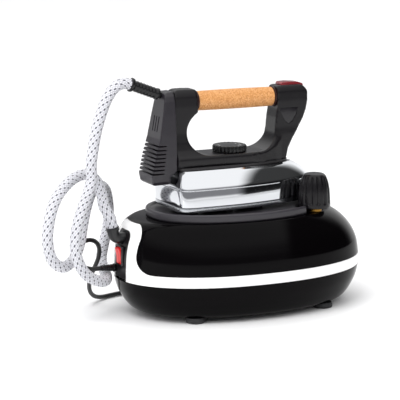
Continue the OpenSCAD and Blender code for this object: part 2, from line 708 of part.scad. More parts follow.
module handle_screws() {
    color("#b8b8ba") for (x = screw_xs) translate([x, 0, 205.4])
        rotate_extrude($fn = 24) polygon([[0, 0], [4, 0.6], [4, 3], [screw_r, 3], [screw_r, 22], [0, 23]]);
}

// ---------------------------------------------------------------- cords

hose_upper_route = [
    [-171, 0, 335], [-180, 0, 337], [-190, -1, 334.5], [-200, -2, 326.5], [-209, -4, 314],
    [-217, -7, 298], [-226, -11, 276], [-233, -16, 253], [-238, -20, 232], [-238, -20, 218]];
hose_lower_route = [
    [-238, -20, 218], [-238, -20, 208], [-244, -24, 192], [-258, -32, 166], [-269, -39, 138],
    [-271, -43, 108], [-258, -39, 81], [-236, -25, 65], [-215, -6, 57], [-201, 20, 56], [-194, 49, 61],
    [-187, 75, 72], [-174, 96, 90], [-163, 108, 114], [-161, 111, 143], [-170, 100, 168], [-189, 81, 179],
    [-208, 59, 173], [-223, 42, 154], [-235, 26, 131], [-246, 11, 108], [-263, -6, 91], [-285, -24, 88],
    [-304, -34, 104], [-310, -36, 133], [-303, -29, 163], [-289, -16, 184], [-270, -1, 198],
    [-247, 16, 206], [-225, 28, 206], [-210, 31, 194], [-205, 26, 177], [-207, 13, 162], [-203, 1, 148],
    [-199.5, 0, 133]];
lead_route = [
    [-212, 15, 71], [-225, 15, 71], [-237, 17, 75], [-245, 20, 84], [-246, 23, 95], [-238, 27, 106],
    [-225, 31, 110], [-212, 35, 106], [-205, 38, 95], [-205, 41, 81], [-209, 46, 66], [-212, 55, 50],
    [-210, 67, 34], [-203, 80, 20], [-191, 93, 9.5], [-175, 104, 4.4], [-155, 112, 3.8],
    [-132, 118.5, 3.8], [-106, 123.5, 3.8], [-80, 125.5, 3.8], [-60, 125.5, 3.8]];
plug_tail_route = [[-23, 136, 10.2], [-11, 146, 10.8], [0, 155, 13], [11, 163, 16.5], [24.5, 168, 18]];

// Frames along a route: each ring's side vector is carried on from the one before.
function direction(route, i) =
    i == 0 ? unit(route[1] - route[0])
    : i == len(route) - 1 ? unit(route[i] - route[i - 1])
    : unit(unit(route[i + 1] - route[i]) + unit(route[i] - route[i - 1]));
function side_at(route, i, before) =
    let (d = direction(route, i)) unit(before - (before * d) * d);
module tube(route, r, count) {
    sides_list = [for (i = 0, s = side_at(route, 0, [0, 1, 0.1]); i < len(route);
        i = i + 1, s = i < len(route) ? side_at(route, i, s) : s) s];
    skin(reversed([for (i = [0 : len(route) - 1])
        let (d = direction(route, i), s = sides_list[i], t = cross(s, d))
        [for (k = [0 : count - 1]) route[i] + r * (cos(360 * k / count) * s + sin(360 * k / count) * t)]]));
}
function reversed(list) = [for (i = [len(list) - 1 : -1 : 0]) list[i]];

module hose_upper() { color("#dcdce0") tube(hose_upper_route, hose_d / 2, 12); }
module hose_lower() { color("#dcdce0") tube(hose_lower_route, hose_d / 2, 12); }
module mains_lead() { color("#17171a") tube(lead_route, lead_d / 2, 8); }
module plug_tail() { color("#17171a") tube(plug_tail_route, lead_d / 2, 8); }

coil = [-52, 170];
coil_mid_r = 38;
coil_half_w = 1.5 * lead_d;
coil_h = 2 * lead_d;
module mains_coil() {
    color("#17171a") translate([coil[0], coil[1], 0.5]) rotate_extrude($fn = 64)
        translate([coil_mid_r - coil_half_w, 0]) square([2 * coil_half_w, coil_h]);
}
module coil_tie() {
    w = coil_half_w;
    color("#5a5a5e") translate([coil[0] + coil_mid_r, coil[1], 0.5 + coil_h / 2]) difference() {
        translate([-w - 1.6, -5, -coil_h / 2 - 0.4]) cube([2 * w + 3.2, 10, coil_h + 2]);
        translate([-w - 0.1, -6, -coil_h / 2 - 0.1]) cube([2 * w + 0.2, 12, coil_h + 0.2]);
    }
}
plug_x = 40;
plug_y = 168;
module mains_plug() {
    color("#1d1d20") translate([plug_x, plug_y, 18]) {
        rotate([0, 90, 0]) cylinder(h = 30, r = 17.5, $fn = 64);
        rotate([0, -90, 0]) cylinder(h = 16, r1 = 13, r2 = 7, $fn = 48);
    }
}
pin_r = 2.4;
pin_l = 19;
pin_pitch = 19;
module plug_pins() {
    color("#c9c9c4") for (side = [-1, 1])
        translate([plug_x + 30, plug_y + side * pin_pitch / 2, 18]) rotate([0, 90, 0])
            cylinder(h = pin_l, r = pin_r, $fn = 32);
}

lower_housing();
upper_housing();
trim_band();
rear_frame();
rear_panel();
iron_tray();
tray_pads();
rubber_feet();
foot_screws();
boiler_lower_shell();
boiler_upper_shell();
boiler_heater();
boiler_posts();
pressure_switch();
boiler_thermostat();
steam_valve();
inlet_pipe();
outlet_pipe();
base_terminal_block();
filler_neck();
filler_plug();
plug_seal();
filler_cap();
switch_frame();
switch_rocker();
hose_gland();
mains_gland();
soleplate();
sole_heater();
steam_chamber_cover();
chrome_skirt();
heat_shield();
handle_body();
rear_cover();
cork_grip();
grip_rod();
rear_collar();
front_collar();
steam_button();
button_spring();
microswitch();
temperature_dial();
dial_shaft();
sole_thermostat();
thermal_fuse();
iron_terminal_block();
steam_tube();
hose_strain_relief();
column_insets();
handle_screws();
hose_upper();
hose_lower();
mains_lead();
mains_coil();
coil_tie();
plug_tail();
mains_plug();
plug_pins();
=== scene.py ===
import json
import math

import bmesh
import bpy
import numpy as np
from mathutils import Matrix, Vector


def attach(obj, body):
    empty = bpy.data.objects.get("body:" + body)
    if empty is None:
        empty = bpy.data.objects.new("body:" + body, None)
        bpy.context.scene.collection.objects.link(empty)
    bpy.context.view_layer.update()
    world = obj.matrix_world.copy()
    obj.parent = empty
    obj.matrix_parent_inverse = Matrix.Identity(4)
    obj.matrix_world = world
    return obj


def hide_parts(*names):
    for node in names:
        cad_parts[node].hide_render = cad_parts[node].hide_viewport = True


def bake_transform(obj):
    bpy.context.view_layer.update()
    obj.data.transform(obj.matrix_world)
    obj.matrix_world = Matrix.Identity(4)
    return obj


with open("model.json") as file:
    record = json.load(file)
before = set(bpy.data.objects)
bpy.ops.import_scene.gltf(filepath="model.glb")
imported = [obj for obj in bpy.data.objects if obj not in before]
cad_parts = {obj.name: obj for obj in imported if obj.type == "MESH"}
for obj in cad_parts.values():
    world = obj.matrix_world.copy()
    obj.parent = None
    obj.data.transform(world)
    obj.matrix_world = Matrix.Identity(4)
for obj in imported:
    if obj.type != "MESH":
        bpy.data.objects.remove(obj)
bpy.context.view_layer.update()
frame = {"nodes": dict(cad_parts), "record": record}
MM = 0.001
scene = bpy.context.scene

# ------------------------------------------------------------------ camera

cam_data = bpy.data.cameras.new("camera")
cam_data.lens = 151.65
cam_data.sensor_width = 36.0
camera = bpy.data.objects.new("camera", cam_data)
camera.location = (-1.0759, -2.1739, 0.6270)
camera.rotation_euler = (math.radians(79.0), 0.0, math.radians(-25.0))
scene.collection.objects.link(camera)
scene.camera = camera
scene.view_settings.view_transform = "Standard"

# ------------------------------------------------------------------ mesh helpers


def new_object(name, verts, faces, sharp=35.0):
    """A mesh object from points in millimetres, shaded smooth up to a sharp-edge angle."""
    mesh = bpy.data.meshes.new(name)
    mesh.from_pydata([tuple(float(c) * MM for c in v) for v in verts], [], faces)
    mesh.update()
    obj = bpy.data.objects.new(name, mesh)
    scene.collection.objects.link(obj)
    tidy_normals(obj, sharp)
    return obj


def shade(obj, sharp=35.0):
    """Smooth shading up to a sharp-edge angle in degrees."""
    obj.data.shade_smooth()
    obj.data.set_sharp_from_angle(angle=math.radians(sharp))


def tidy_normals(obj, sharp):
    """Turns every face outwards, then shades the mesh."""
    bm = bmesh.new()
    bm.from_mesh(obj.data)
    bmesh.ops.recalc_face_normals(bm, faces=bm.faces)
    bm.to_mesh(obj.data)
    bm.free()
    shade(obj, sharp)
    obj.data.update()


def loft(name, rings, closed=False, sharp=35.0):
    """A skin over rings with the same number of points. closed joins the last ring to the first."""
    n, m = len(rings[0]), len(rings)
    verts = [p for ring in rings for p in ring]
    faces = []
    for i in range(m if closed else m - 1):
        a, c = i * n, ((i + 1) % m) * n
        for j in range(n):
            k = (j + 1) % n
            faces.append((a + j, a + k, c + k, c + j))
    if not closed:
        faces.append(tuple(range(n - 1, -1, -1)))
        faces.append(tuple((m - 1) * n + j for j in range(n)))
    return new_object(name, verts, faces, sharp=sharp)


def aim(origin, direction):
    """The matrix that stands a shape built along Z at an origin, along a direction (millimetres)."""
    turn = Vector(direction).to_track_quat("Z", "Y").to_matrix().to_4x4()
    return Matrix.Translation(Vector(origin) * MM) @ turn


def lathe(name, profile, origin=(0, 0, 0), direction=(0, 0, 1), n=96, ripple=None, sharp=35.0):
    """A profile of (radius, height) turned about an axis. ripple(angle, radius, height) gives a new radius."""
    rings = []
    for r, z in profile:
        ring = []
        for k in range(n):
            a = 2 * math.pi * k / n
            q = r if ripple is None else ripple(a, r, z)
            ring.append((q * math.cos(a), q * math.sin(a), z))
        rings.append(ring)
    obj = loft(name, rings, sharp=sharp)
    obj.data.transform(aim(origin, direction))
    return obj


def prism(name, outline, axis, low, high):
    """An outline in the two other axes (in X, Y, Z order), extruded along an axis between two values."""
    place = {"x": (2, 0, 1), "y": (0, 2, 1), "z": (0, 1, 2)}[axis]
    rings = [[tuple((u, v, w)[k] for k in place) for u, v in outline] for w in (low, high)]
    return loft(name, rings)


def block(name, low, high):
    x, y = (low[0], high[0]), (low[1], high[1])
    outline = [(x[0], y[0]), (x[1], y[0]), (x[1], y[1]), (x[0], y[1])]
    return prism(name, outline, "z", low[2], high[2])


def rod(name, start, end, r, n=48):
    span = Vector(end) - Vector(start)
    return lathe(name, [(r, 0.0), (r, span.length)], start, span, n)


def bake(obj):
    """Applies every modifier on an object."""
    graph = bpy.context.evaluated_depsgraph_get()
    mesh = bpy.data.meshes.new_from_object(obj.evaluated_get(graph))
    obj.modifiers.clear()
    old = obj.data
    obj.data = mesh
    bpy.data.meshes.remove(old)


def carve(obj, tool, operation="DIFFERENCE", sharp=35.0):
    """A boolean with a tool, which is then removed."""
    mod = obj.modifiers.new("carve", "BOOLEAN")
    mod.operation = operation
    mod.solver = "EXACT"
    mod.object = tool
    bake(obj)
    mesh = tool.data
    bpy.data.objects.remove(tool)
    bpy.data.meshes.remove(mesh)
    shade(obj, sharp)
    return obj


def soften(obj, voxel, rounds):
    """Rounds every edge of a blocky solid: voxel remesh, then smoothing."""
    mod = obj.modifiers.new("remesh", "REMESH")
    mod.mode = "VOXEL"
    mod.voxel_size = voxel * MM
    mod = obj.modifiers.new("smooth", "SMOOTH")
    mod.factor = 0.5
    mod.iterations = rounds
    bake(obj)
    obj.data.shade_smooth()
    return obj


def bevel(obj, width, segments=2, angle=40.0):
    """Rounds the edges sharper than an angle (degrees) by a width in millimetres."""
    mod = obj.modifiers.new("bevel", "BEVEL")
    mod.width = width * MM
    mod.segments = segments
    mod.limit_method = "ANGLE"
    mod.angle_limit = math.radians(angle)
    bake(obj)
    shade(obj)
    return obj


def join(name, objs):
    """Several mesh objects as one, keeping every material slot."""
    first = objs[0]
    with bpy.context.temp_override(active_object=first, object=first, selected_editable_objects=objs,
                                   selected_objects=objs):
        bpy.ops.object.join()
    first.name = name
    return first


# ------------------------------------------------------------------ curves and outlines


def monotone(xs, ys, at):
    """Monotone cubic through points, so a smooth profile never runs past its own rows."""
    xs, ys = np.asarray(xs, float), np.asarray(ys, float)
    h, d = np.diff(xs), np.diff(ys) / np.diff(xs)
    both = d[1:] * d[:-1]
    inner = np.where(both > 0, 2 * both / (d[1:] + d[:-1] + 1e-12), 0)
    m = np.concatenate([[d[0]], inner, [d[-1]]])
    i = np.clip(np.searchsorted(xs, at) - 1, 0, len(h) - 1)
    t = (at - xs[i]) / h[i]
    return ((2 * t**3 - 3 * t**2 + 1) * ys[i] + (t**3 - 2 * t**2 + t) * h[i] * m[i]
            + (-2 * t**3 + 3 * t**2) * ys[i + 1] + (t**3 - t**2) * h[i] * m[i + 1])


def fine_rows(rows, steps):
    """Rows of numbers made finer along their own length."""
    rows = np.asarray(rows, float)
    s = np.concatenate([[0], np.cumsum(np.linalg.norm(np.diff(rows, axis=0), axis=1))])
    at = np.linspace(0, s[-1], steps)
    return np.stack([monotone(s, rows[:, k], at) for k in range(rows.shape[1])], axis=1)


def spline(points, step):
    """Catmull-Rom through points, sampled evenly."""
    p = np.asarray(points, float)
    p = np.vstack([2 * p[0] - p[1], p, 2 * p[-1] - p[-2]])
    fine = []
    for i in range(1, len(p) - 2):
        for t in np.linspace(0, 1, 24, endpoint=False):
            fine.append(0.5 * (2 * p[i] + (p[i + 1] - p[i - 1]) * t
                               + (2 * p[i - 1] - 5 * p[i] + 4 * p[i + 1] - p[i + 2]) * t**2
                               + (3 * p[i] - p[i - 1] - 3 * p[i + 1] + p[i + 2]) * t**3))
    fine.append(p[-2])
    return even(np.array(fine), step)


def even(line, step):
    """A line resampled at equal steps."""
    s = np.concatenate([[0], np.cumsum(np.linalg.norm(np.diff(line, axis=0), axis=1))])
    at = np.linspace(0, s[-1], max(2, int(round(s[-1] / step)) + 1))
    return np.stack([np.interp(at, s, line[:, k]) for k in range(3)], axis=1)


def signed_power(v, p):
    return math.copysign(abs(v) ** p, v)


OVAL_POINTS = 256


def oval(z, rear, front, side, n_rear, n_front, mid=0.0):
    """A rounded plan outline: its rear and front half lengths, half width, and roundness of each end."""
    ring = []
    for k in range(OVAL_POINTS):
        a = 2 * math.pi * (k + 0.5) / OVAL_POINTS
        c, s = math.cos(a), math.sin(a)
        p, reach = (n_rear, rear) if c < 0 else (n_front, front)
        ring.append((mid + reach * signed_power(c, 2 / p), side * signed_power(s, 2 / p), z))
    return ring


def arc(cx, cz, r, a0, a1, n):
    """Points of a circle's arc between two angles in degrees."""
    return [(cx + r * math.cos(math.radians(a0 + (a1 - a0) * i / n)),
             cz + r * math.sin(math.radians(a0 + (a1 - a0) * i / n))) for i in range(n + 1)]


def tube(name, line, r, n):
    """A round tube along a line of points (millimetres). Its UVs are the turn and the length in metres."""
    line = np.asarray(line, float)
    ahead = np.gradient(line, axis=0)
    ahead /= np.linalg.norm(ahead, axis=1)[:, None]
    side = np.cross(ahead[0], (0.1, 0.2, 1.0))
    rings, along = [], 0.0
    lengths = []
    for i, p in enumerate(line):
        side = side - (side @ ahead[i]) * ahead[i]
        side /= np.linalg.norm(side)
        up = np.cross(ahead[i], side)
        if i:
            along += float(np.linalg.norm(line[i] - line[i - 1]))
        lengths.append(along * MM)
        rings.append([p + r * (math.cos(2 * math.pi * k / n) * side + math.sin(2 * math.pi * k / n) * up)
                      for k in range(n)])
    obj = loft(name, rings)
    layer = obj.data.uv_layers.new(name="along")
    for poly in obj.data.polygons:
        turns = [obj.data.loops[li].vertex_index % n for li in poly.loop_indices]
        wraps = max(turns) - min(turns) > n / 2
        for li, t in zip(poly.loop_indices, turns):
            row = obj.data.loops[li].vertex_index // n
            layer.data[li].uv = ((t + (n if wraps and t == 0 else 0)) / n, lengths[row])
    return obj


# ------------------------------------------------------------------ materials


def srgb(text):
    parts = [int(text[i:i + 2], 16) / 255 for i in (1, 3, 5)]
    return [c / 12.92 if c <= 0.04045 else ((c + 0.055) / 1.055) ** 2.4 for c in parts]


class Paint:
    """A procedural material: a principled shader and the node links that vary it."""

    def __init__(self, name, color, rough, metal=0.0):
        self.mat = bpy.data.materials.new(name)
        self.mat.use_nodes = True
        self.tree = self.mat.node_tree
        self.shader = self.tree.nodes["Principled BSDF"]
        self.shader.inputs["Base Color"].default_value = (*srgb(color), 1)
        self.shader.inputs["Roughness"].default_value = rough
        self.shader.inputs["Metallic"].default_value = metal
        self.mat.diffuse_color = (*srgb(color), 1)
        self.coords = self.tree.nodes.new("ShaderNodeTexCoord")
        self.normal = None

    def node(self, kind, **values):
        n = self.tree.nodes.new(kind)
        for key, value in values.items():
            if hasattr(n, key):
                setattr(n, key, value)
            else:
                n.inputs[key.replace("_", " ")].default_value = value
        return n

    def link(self, a, b):
        self.tree.links.new(a, b)

    def noise(self, scale, detail=4.0, rough=0.55, stretch=None):
        n = self.node("ShaderNodeTexNoise", Scale=scale, Detail=detail, Roughness=rough)
        source = self.coords.outputs["Object"]
        if stretch:
            m = self.node("ShaderNodeMapping")
            m.inputs["Scale"].default_value = stretch
            self.link(source, m.inputs["Vector"])
            source = m.outputs["Vector"]
        self.link(source, n.inputs["Vector"])
        return n.outputs["Fac"]

    def ramp(self, value, stops):
        n = self.node("ShaderNodeValToRGB")
        e = n.color_ramp.elements
        while len(e) < len(stops):
            e.new(0.5)
        for slot, (at, color) in zip(e, stops):
            slot.position = at
            slot.color = (*(srgb(color) if isinstance(color, str) else (color, color, color)), 1)
        self.link(value, n.inputs["Fac"])
        return n.outputs["Color"]

    def spread(self, value, low, high):
        n = self.node("ShaderNodeMapRange")
        n.inputs["To Min"].default_value = low
        n.inputs["To Max"].default_value = high
        n.inputs["From Min"].default_value = 0.25
        n.inputs["From Max"].default_value = 0.75
        self.link(value, n.inputs["Value"])
        return n.outputs["Result"]

    def roughness(self, value, low, high):
        self.link(self.spread(value, low, high), self.shader.inputs["Roughness"])
        return self

    def bump(self, value, strength, distance):
        n = self.node("ShaderNodeBump", Strength=strength, Distance=distance)
        self.link(value, n.inputs["Height"])
        if self.normal is not None:
            self.link(self.normal, n.inputs["Normal"])
        self.normal = n.outputs["Normal"]
        self.link(self.normal, self.shader.inputs["Normal"])
        return self

    def tint(self, color):
        self.link(color, self.shader.inputs["Base Color"])
        return self


DRIFT = 0.12


def moulded(name, color, rough, grain=900.0, depth=0.00012, shine=0.5):
    """Injection-moulded plastic: spark-eroded grain, a faint blotchy sheen, slight colour drift."""
    p = Paint(name, color, rough)
    broad = p.noise(14.0, 3.0)
    fine = p.noise(grain, 2.0, 0.6)
    base = srgb(color)
    dark = [c * (1 - DRIFT) for c in base]
    lift = [min(1, c * (1 + DRIFT) + 0.001) for c in base]
    n = p.node("ShaderNodeMix", data_type="RGBA")
    p.link(broad, n.inputs["Factor"])
    n.inputs[6].default_value = (*dark, 1)
    n.inputs[7].default_value = (*lift, 1)
    p.tint(n.outputs[2])
    p.roughness(broad, rough * 0.85, min(1, rough * 1.15))
    p.bump(fine, 0.35, depth)
    p.shader.inputs["Specular IOR Level"].default_value = shine
    return p


def polished(name, color, rough, coat=0.3, shine=0.5):
    """Glossy moulding: near-mirror skin with the slow ripple of a moulded surface and fine wipe marks."""
    p = Paint(name, color, rough)
    broad = p.noise(9.0, 2.0)
    wipes = p.noise(60.0, 6.0, 0.7, stretch=(1.0, 5.0, 9.0))
    base = srgb(color)
    n = p.node("ShaderNodeMix", data_type="RGBA")
    p.link(broad, n.inputs["Factor"])
    n.inputs[6].default_value = (*[c * 0.93 for c in base], 1)
    n.inputs[7].default_value = (*[min(1, c * 1.05) for c in base], 1)
    p.tint(n.outputs[2])
    p.roughness(wipes, rough * 0.8, rough * 1.5)
    p.bump(broad, 0.2, 0.00006)
    p.shader.inputs["Coat Weight"].default_value = coat
    p.shader.inputs["Coat Roughness"].default_value = 0.04
    p.shader.inputs["Specular IOR Level"].default_value = shine
    return p


def metal(name, color, rough, grain=(1.0, 1.0, 30.0)):
    """Brushed or drawn metal: streaks along the part and a cloudy change of shine."""
    p = Paint(name, color, rough, 1.0)
    streak = p.noise(160.0, 5.0, 0.65, stretch=grain)
    cloud = p.noise(25.0, 3.0)
    base = srgb(color)
    n = p.node("ShaderNodeMix", data_type="RGBA")
    p.link(cloud, n.inputs["Factor"])
    n.inputs[6].default_value = (*[c * 0.88 for c in base], 1)
    n.inputs[7].default_value = (*[min(1, c * 1.06) for c in base], 1)
    p.tint(n.outputs[2])
    p.roughness(streak, rough * 0.7, min(1, rough * 1.5))
    p.bump(streak, 0.3, 0.00003)
    return p


def chrome():
    p = Paint("chrome_skin", "#d0d2d5", 0.04, 1.0)
    smear = p.noise(30.0, 5.0, 0.6, stretch=(1.0, 2.0, 4.0))
    p.roughness(smear, 0.025, 0.075)
    p.bump(p.noise(6.0, 1.0), 0.15, 0.00008)
    return p


def cork():
    p = Paint("cork", "#e0ab70", 0.6)
    grains = p.node("ShaderNodeTexVoronoi", Scale=620.0, Randomness=1.0)
    p.link(p.coords.outputs["Object"], grains.inputs["Vector"])
    tone = p.node("ShaderNodeSeparateColor")
    p.link(grains.outputs["Color"], tone.inputs["Color"])
    base = p.ramp(tone.outputs[0], [(0.0, "#b87840"), (0.3, "#c98c50"), (0.65, "#d2965b"), (1.0, "#dba56e")])
    flecks = p.ramp(p.noise(330.0, 4.0, 0.7), [(0.0, 0.0), (0.62, 0.0), (0.72, 0.8), (1.0, 0.8)])
    n = p.node("ShaderNodeMix", data_type="RGBA")
    p.link(flecks, n.inputs["Factor"])
    p.link(base, n.inputs[6])
    n.inputs[7].default_value = (*srgb("#8e5a2c"), 1)
    p.tint(n.outputs[2])
    p.roughness(p.noise(90.0), 0.5, 0.75)
    p.bump(grains.outputs["Distance"], 0.4, 0.0003)
    p.bump(p.noise(500.0, 4.0), 0.3, 0.0002)
    return p


def braid():
    """White woven hose cover with slanted rows of black flecks and painted shade in the gaps between strands,
    laid out on the tube's own UVs.
    """
    p = Paint("hose_braid", "#e9e9ee", 0.7)
    uv = p.node("ShaderNodeSeparateXYZ")
    p.link(p.coords.outputs["UV"], uv.inputs["Vector"])
    around, along = uv.outputs["X"], uv.outputs["Y"]

    def math_node(operation, a, b=None):
        n = p.node("ShaderNodeMath", operation=operation)
        for slot, value in zip(n.inputs, (a, b)):
            if value is None:
                continue
            if isinstance(value, (int, float)):
                slot.default_value = value
            else:
                p.link(value, slot)
        return n.outputs[0]

    strands = 12.0
    pitch = 0.0056
    turn = math_node("MULTIPLY", around, strands)
    run = math_node("DIVIDE", along, pitch)
    left = math_node("ADD", turn, run)
    right = math_node("SUBTRACT", turn, run)
    ridge_a = math_node("ABSOLUTE", math_node("SINE", math_node("MULTIPLY", left, math.pi)))
    ridge_b = math_node("ABSOLUTE", math_node("SINE", math_node("MULTIPLY", right, math.pi)))
    weave = math_node("MINIMUM", ridge_a, ridge_b)

    def from_middle(strand):
        half = math_node("FRACT", math_node("MULTIPLY", strand, 0.5))
        return math_node("ABSOLUTE", math_node("SUBTRACT", half, 0.5))

    fleck_long = math_node("LESS_THAN", from_middle(left), 0.24)
    fleck_wide = math_node("LESS_THAN", from_middle(right), 0.15)
    inside = math_node("MULTIPLY", fleck_long, fleck_wide)
    # Painted shade: the gaps between strands are coloured darker grey, and the strand ridges stay near white.
    thread_and_groove_shade = p.ramp(weave, [(0.0, "#b4b4bc"), (0.35, "#d4d4da"), (1.0, "#e4e4e9")])
    n = p.node("ShaderNodeMix", data_type="RGBA")
    p.link(inside, n.inputs["Factor"])
    p.link(thread_and_groove_shade, n.inputs[6])
    n.inputs[7].default_value = (*srgb("#4a4a54"), 1)
    p.tint(n.outputs[2])
    p.bump(weave, 0.7, 0.0009)
    p.bump(p.noise(1800.0, 3.0), 0.3, 0.0002)
    p.shader.inputs["Sheen Weight"].default_value = 0.3
    return p


def translucent_red(name, color, rough, glow=0.0, coat=0.6):
    p = Paint(name, color, rough)
    cloud = p.noise(60.0, 3.0)
    base = srgb(color)
    n = p.node("ShaderNodeMix", data_type="RGBA")
    p.link(cloud, n.inputs["Factor"])
    n.inputs[6].default_value = (*[c * 0.8 for c in base], 1)
    n.inputs[7].default_value = (*[min(1, c * 1.2) for c in base], 1)
    p.tint(n.outputs[2])
    p.roughness(cloud, rough * 0.7, rough * 1.4)
    p.shader.inputs["Coat Weight"].default_value = coat
    p.shader.inputs["Subsurface Weight"].default_value = 0.35
    p.shader.inputs["Subsurface Radius"].default_value = (0.004, 0.001, 0.001)
    if glow:
        p.shader.inputs["Emission Color"].default_value = (*srgb("#f00404"), 1)
        heat = p.noise(140.0, 3.0)
        p.link(p.spread(heat, glow * 0.5, glow * 1.5), p.shader.inputs["Emission Strength"])
    return p


paints = {
    "black_shell": polished("black_shell", "#050405", 0.08, 0.0, shine=0.07),
    "white_trim": polished("white_trim", "#fbfbfa", 0.16, 0.3),
    "dark_plastic": moulded("dark_plastic", "#100c0f", 0.3, shine=0.4),
    "tray_plastic": moulded("tray_plastic", "#302e33", 0.36, 700.0),
    "silicone": moulded("silicone", "#2a2a2c", 0.7, 400.0, 0.0002),
    "rubber": moulded("rubber", "#242426", 0.6, 500.0, 0.0002),
    "zinc_steel": metal("zinc_steel", "#b8b8ba", 0.32),
    "boiler_steel": metal("boiler_steel", "#c4c6c8", 0.28),
    "heater_steel": metal("heater_steel", "#8d8f92", 0.5),
    "brass": metal("brass", "#9a7434", 0.32, (1.0, 1.0, 20.0)),
    "copper": metal("copper", "#c9895a", 0.3),
    "terminal_plastic": moulded("terminal_plastic", "#e6e2d8", 0.45, 600.0),
    "seal_silicone": moulded("seal_silicone", "#b9876a", 0.5, 500.0),
    "charcoal_plastic": moulded("charcoal_plastic", "#0e0c0f", 0.27, 1100.0, 0.0001, shine=0.3),
    "black_plastic": moulded("black_plastic", "#141416", 0.34, 900.0),
    "red_rocker": translucent_red("red_rocker", "#b8090c", 0.35, 0.3, 0.1),
    "gland_rubber": moulded("gland_rubber", "#08080a", 0.24, 600.0, 0.00012, shine=0.4),
    "sole_aluminium": metal("sole_aluminium", "#b9bcc0", 0.22, (1.0, 30.0, 30.0)),
    "chrome_skin": chrome(),
    "shield_plastic": moulded("shield_plastic", "#262426", 0.5, 700.0),
    "cover_plastic": moulded("cover_plastic", "#1f1c22", 0.34, 900.0, shine=0.5),
    "cork": cork(),
    "collar_plastic": moulded("collar_plastic", "#2c1210", 0.34, 500.0, shine=0.3),
    "button_plastic": translucent_red("button_plastic", "#74101a", 0.2, coat=0.25),
    "spring_steel": metal("spring_steel", "#c9cbce", 0.2),
    "dial_plastic": moulded("dial_plastic", "#0a0a0c", 0.3, 1000.0, shine=0.34),
    "thermostat_ceramic": moulded("thermostat_ceramic", "#c9c4b6", 0.7, 400.0),
    "inset_plastic": moulded("inset_plastic", "#171519", 0.22, 800.0, shine=0.4),
    "hose_braid": braid(),
    "lead_rubber": moulded("lead_rubber", "#141416", 0.42, 500.0, 0.00012),
    "tie_plastic": moulded("tie_plastic", "#5a5a5e", 0.5, 500.0),
    "plug_rubber": moulded("plug_rubber", "#1a1a1d", 0.5, 600.0, 0.00015),
    "pin_brass": metal("pin_brass", "#c9c4a8", 0.2, (20.0, 1.0, 1.0)),
}


def dress(obj, slot_name, body, *nodes):
    """Gives a finished piece its material and its body, and hides the CAD nodes it stands for."""
    obj.data.materials.clear()
    obj.data.materials.append(paints[slot_name].mat)
    if body:
        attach(obj, body)
    if nodes:
        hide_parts(*nodes)
    return obj


# ------------------------------------------------------------------ cords

HOSE_R = 8.0
HOSE_ROUTE = [
    (-171, 0, 335), (-180, 0, 337), (-190, -1, 334.5), (-200, -2, 326.5), (-209, -4, 314), (-217, -7, 298),
    (-226, -11, 276), (-233, -16, 253), (-238, -20, 232), (-238, -20, 218), (-238, -20, 208),
    (-244, -24, 192), (-258, -32, 166), (-269, -39, 138), (-271, -43, 108), (-258, -39, 81),
    (-236, -25, 65), (-215, -6, 57), (-201, 20, 56), (-194, 49, 61), (-187, 75, 72), (-174, 96, 90),
    (-163, 108, 114), (-161, 111, 143), (-170, 100, 168), (-189, 81, 179), (-208, 59, 173),
    (-223, 42, 154), (-235, 26, 131), (-246, 11, 108), (-263, -6, 91), (-285, -24, 88), (-304, -34, 104),
    (-310, -36, 133), (-303, -29, 163), (-289, -16, 184), (-270, -1, 198), (-247, 16, 206),
    (-225, 28, 206), (-210, 31, 194), (-205, 26, 177), (-207, 13, 162), (-203, 1, 148), (-199.5, 0, 133)]
hose_line = spline(HOSE_ROUTE, 3.5)
hose = tube("steam_hose", hose_line, HOSE_R, 40)

LEAD_R = 3.25
LEAD_ROUTE = [
    (-212, 15, 71), (-225, 15, 71), (-237, 17, 75), (-245, 20, 84), (-246, 23, 95), (-238, 27, 106),
    (-225, 31, 110), (-212, 35, 106), (-205, 38, 95), (-205, 41, 81), (-209, 46, 66), (-212, 55, 50),
    (-210, 67, 34), (-203, 80, 20), (-191, 93, 9.5), (-175, 104, 4.4), (-155, 112, 3.8),
    (-132, 118.5, 3.8), (-106, 123.5, 3.8), (-80, 125.5, 3.8), (-60, 125.5, 3.8)]
COIL = (-52.0, 170.0)
COIL_R = 44.5
COIL_PITCH = 6.6
COIL_LAYER_TURNS = 3.0
COIL_END = 40.0
TAIL_ROUTE = [(-11, 146, 10.8), (0, 155, 13), (11, 163, 16.5), (24.5, 168, 18)]


def coil_points():
    """The lead wound inwards on the floor, then up one layer and outwards on top."""
    total = 2 * COIL_LAYER_TURNS + COIL_END / 360
    points = []
    for i in range(int(total * 24) + 1):
        t = i / 24
        inwards = min(t, total - t)
        rise = min(1.0, max(0.0, (t - COIL_LAYER_TURNS + 0.1) / 0.3))
        r = COIL_R - COIL_PITCH * inwards
        a = math.radians(-90 + 360 * t)
        z = 3.8 + 2 * LEAD_R * rise * rise * (3 - 2 * rise)
        points.append((COIL[0] + r * math.cos(a), COIL[1] + r * math.sin(a), z))
    return points


lead_line = spline(LEAD_ROUTE[:-1] + coil_points() + TAIL_ROUTE, 2.4)
lead = tube("mains_cable", lead_line, LEAD_R, 14)

# ------------------------------------------------------------------ boiler base

UPPER = [(72, 190, 188.5, 119), (90, 189, 185.5, 117.5), (106, 187, 179, 113), (120, 183, 169, 107),
         (131, 178, 157, 100), (138, 171, 146, 94), (141, 164, 139, 91)]
LOWER = [(8, 0.84), (10, 0.87), (16, 0.905), (27, 0.945), (41, 0.98), (56, 1.0)]
BASE_N = 2.2
WALL = 3.0


def base_ring(row, inset=0.0):
    z, rear, front, side = row
    return oval(z, rear - inset, front - inset, side - inset, BASE_N, BASE_N)


def upper_skin(inset, thick, low, high):
    """Rings of the upper shell's outer and inner faces, set in from the outside, between two heights."""
    rows = [r for r in fine_rows([(56, 190, 188.5, 119), *UPPER], 44) if low - 0.01 <= r[0] <= high + 0.01]
    outer = [base_ring(r, inset) for r in rows]
    inner = [base_ring(r, inset + thick) for r in rows]
    return outer, inner


